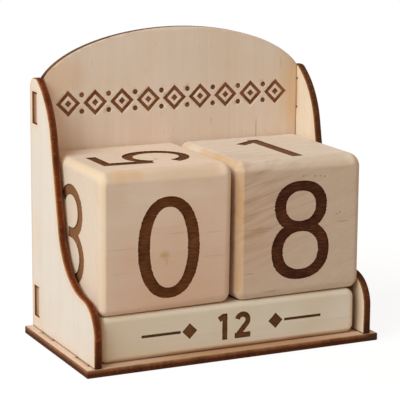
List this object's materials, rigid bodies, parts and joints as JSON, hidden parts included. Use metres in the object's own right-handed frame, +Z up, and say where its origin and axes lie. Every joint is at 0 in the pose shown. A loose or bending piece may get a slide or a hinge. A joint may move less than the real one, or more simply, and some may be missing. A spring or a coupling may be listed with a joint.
{
  "type": "perpetual calendar",
  "caption": "Free-standing wooden perpetual desk calendar: plywood stand with an arched back, engraved date cubes that lift out and square month bars that slide out from under them.",
  "frame": {"origin": "middle of the base plate's underside", "axes": "+X to the right as seen from the front, +Y towards the back panel, +Z up"},
  "size_m": [0.115, 0.0616, 0.1123],
  "materials": {
    "birch_plywood": "sanded bare birch plywood with laser-burnt edges",
    "cube_wood": "sanded bare lime wood, digits burnt in by laser",
    "bar_wood": "planed bare lime wood, numbers burnt in by laser"
  },
  "bodies": {
    "stand": {"base_plate": "birch_plywood", "left_side": "birch_plywood", "right_side": "birch_plywood", "back_panel": "birch_plywood"},
    "tens_cube": {"tens_cube": "cube_wood"},
    "units_cube": {"units_cube": "cube_wood"},
    "rear_month_bar": {"rear_month_bar": "bar_wood"},
    "middle_month_bar": {"middle_month_bar": "bar_wood"},
    "front_month_bar": {"front_month_bar": "bar_wood"}
  },
  "joints": [
    {"name": "tens_cube_lift", "type": "slide", "parent": "stand", "child": "tens_cube", "axis": [0, 0, 1], "range_m": [0, 0.08]},
    {"name": "units_cube_lift", "type": "slide", "parent": "stand", "child": "units_cube", "axis": [0, 0, 1], "range_m": [0, 0.08]},
    {"name": "rear_bar_slide", "type": "slide", "parent": "stand", "child": "rear_month_bar", "axis": [0, -1, 0], "range_m": [0, 0.056]},
    {"name": "middle_bar_slide", "type": "slide", "parent": "rear_month_bar", "child": "middle_month_bar", "axis": [0, -1, 0], "range_m": [0, 0.04]},
    {"name": "front_bar_slide", "type": "slide", "parent": "middle_month_bar", "child": "front_month_bar", "axis": [0, -1, 0], "range_m": [0, 0.024]}
  ]
}
